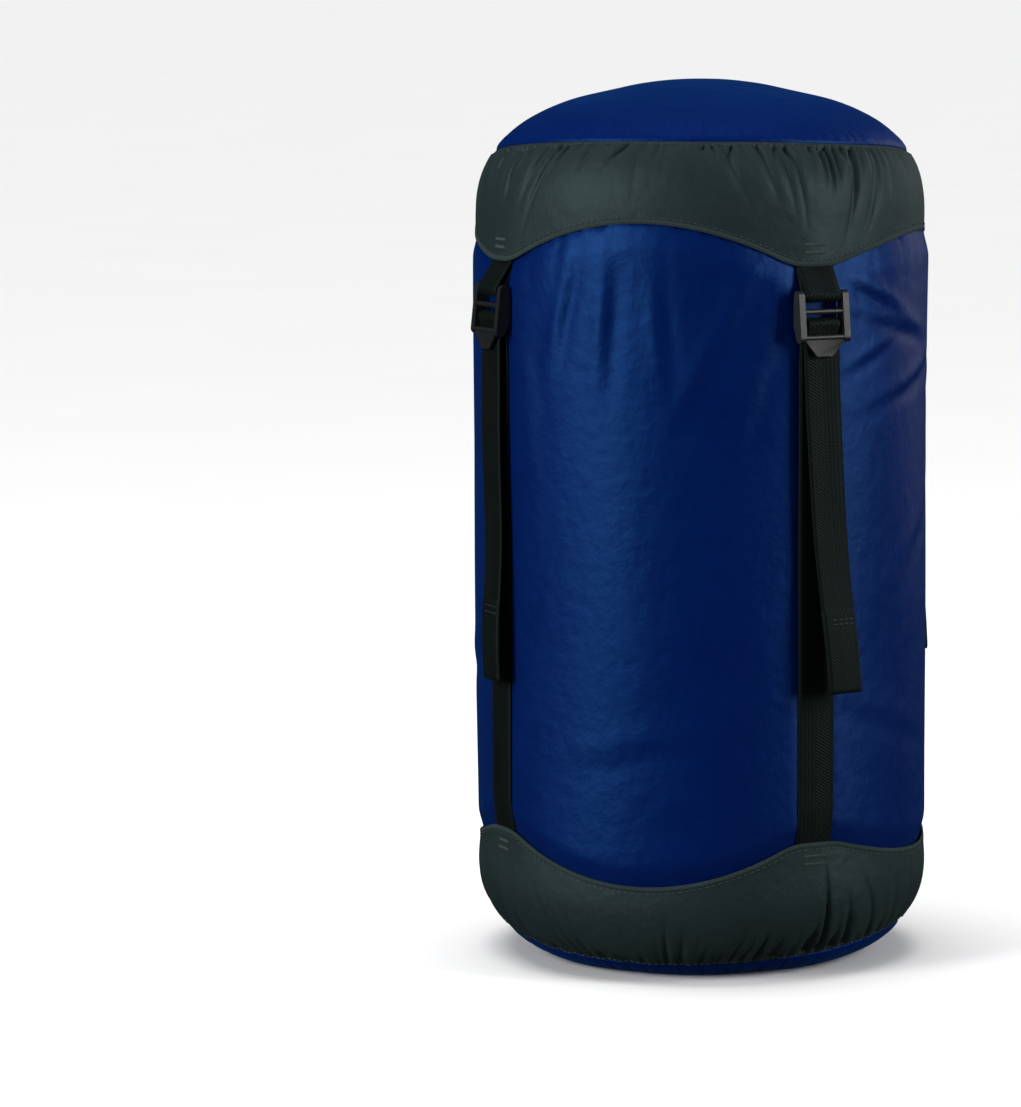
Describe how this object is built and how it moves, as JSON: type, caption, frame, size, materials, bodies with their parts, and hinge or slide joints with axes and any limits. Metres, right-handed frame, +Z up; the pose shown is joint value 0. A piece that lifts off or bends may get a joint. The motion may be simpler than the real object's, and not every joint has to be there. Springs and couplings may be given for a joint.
{
  "type": "compression sack",
  "caption": "Cylindrical fabric stuff sack with cap-shaped base and lid joined by adjustable webbing straps with ladder-lock buckles that pull the lid down to compress it.",
  "frame": {"origin": "middle of the flat underside of the base", "axes": "+Z up along the sack, -Y towards the front panel, +X to the right"},
  "size_m": [0.235, 0.2356, 0.452],
  "materials": {
    "blue_nylon": "coated nylon, soft sheen, navy blue",
    "charcoal_nylon": "plain-weave nylon, dark charcoal, low sheen",
    "binding_tape": "folded grosgrain tape, near black",
    "webbing": "ribbed nylon webbing, near black",
    "thread": "bonded polyester thread, black",
    "label": "woven label, black with a plain teal motif",
    "buckle_plastic": "moulded acetal, satin black"
  },
  "bodies": {
    "base": {"base_bottom_panel": "blue_nylon", "base_front_panel": "charcoal_nylon", "base_rear_panel": "charcoal_nylon", "base_hem_binding": "binding_tape", "base_bartacks": "thread", "sack_tube": "blue_nylon", "tube_seam_tape": "binding_tape", "rear_label": "label", "base_strap_front_left": "webbing", "base_strap_front_right": "webbing", "base_strap_rear_right": "webbing", "base_strap_rear_left": "webbing"},
    "lid": {"lid_top_panel": "blue_nylon", "lid_front_panel": "charcoal_nylon", "lid_rear_panel": "charcoal_nylon", "lid_hem_binding": "binding_tape", "lid_bartacks": "thread", "lid_tab_front_left": "webbing", "lid_tab_front_right": "webbing", "lid_tab_rear_right": "webbing", "lid_tab_rear_left": "webbing"},
    "mouth": {"mouth_collar": "blue_nylon", "drawcord_channel": "binding_tape"},
    "buckle_front_left": {"buckle_front_left": "buckle_plastic", "strap_turn_front_left": "webbing"},
    "tail_front_left": {"strap_tail_front_left": "webbing"},
    "buckle_front_right": {"buckle_front_right": "buckle_plastic", "strap_turn_front_right": "webbing"},
    "tail_front_right": {"strap_tail_front_right": "webbing"},
    "buckle_rear_right": {"buckle_rear_right": "buckle_plastic", "strap_turn_rear_right": "webbing"},
    "tail_rear_right": {"strap_tail_rear_right": "webbing"},
    "buckle_rear_left": {"buckle_rear_left": "buckle_plastic", "strap_turn_rear_left": "webbing"},
    "tail_rear_left": {"strap_tail_rear_left": "webbing"}
  },
  "joints": [
    {"name": "lid_slide", "type": "slide", "parent": "base", "child": "lid", "axis": [0, 0, -1], "range_m": [0, 0.205], "deforming": ["sack_tube", "tube_seam_tape", "base_strap_front_left", "base_strap_front_right", "base_strap_rear_right", "base_strap_rear_left"]},
    {"name": "mouth_follow", "type": "slide", "parent": "base", "child": "mouth", "axis": [0, 0, -1], "range_m": [0, 0.205], "deforming": ["sack_tube", "tube_seam_tape"]},
    {"name": "buckle_hinge_front_left", "type": "hinge", "parent": "lid", "child": "buckle_front_left", "pos_m": [-0.08591, -0.08591, 0.3485], "axis": [-0.7071, 0.7071, 0], "range_deg": [0, 60]},
    {"name": "tail_hinge_front_left", "type": "hinge", "parent": "buckle_front_left", "child": "tail_front_left", "pos_m": [-0.08641, -0.08641, 0.317], "axis": [-0.7071, 0.7071, 0], "range_deg": [0, 80]},
    {"name": "buckle_hinge_front_right", "type": "hinge", "parent": "lid", "child": "buckle_front_right", "pos_m": [0.08591, -0.08591, 0.3485], "axis": [-0.7071, -0.7071, 0], "range_deg": [0, 60]},
    {"name": "tail_hinge_front_right", "type": "hinge", "parent": "buckle_front_right", "child": "tail_front_right", "pos_m": [0.08641, -0.08641, 0.317], "axis": [-0.7071, -0.7071, 0], "range_deg": [0, 80]},
    {"name": "buckle_hinge_rear_right", "type": "hinge", "parent": "lid", "child": "buckle_rear_right", "pos_m": [0.08591, 0.08591, 0.3485], "axis": [0.7071, -0.7071, 0], "range_deg": [0, 60]},
    {"name": "tail_hinge_rear_right", "type": "hinge", "parent": "buckle_rear_right", "child": "tail_rear_right", "pos_m": [0.08641, 0.08641, 0.317], "axis": [0.7071, -0.7071, 0], "range_deg": [0, 80]},
    {"name": "buckle_hinge_rear_left", "type": "hinge", "parent": "lid", "child": "buckle_rear_left", "pos_m": [-0.08591, 0.08591, 0.3485], "axis": [0.7071, 0.7071, 0], "range_deg": [0, 60]},
    {"name": "tail_hinge_rear_left", "type": "hinge", "parent": "buckle_rear_left", "child": "tail_rear_left", "pos_m": [-0.08641, 0.08641, 0.317], "axis": [0.7071, 0.7071, 0], "range_deg": [0, 80]}
  ],
  "couplings": [
    {"joint": "mouth_follow", "follows": "lid_slide", "ratio": 1}
  ]
}
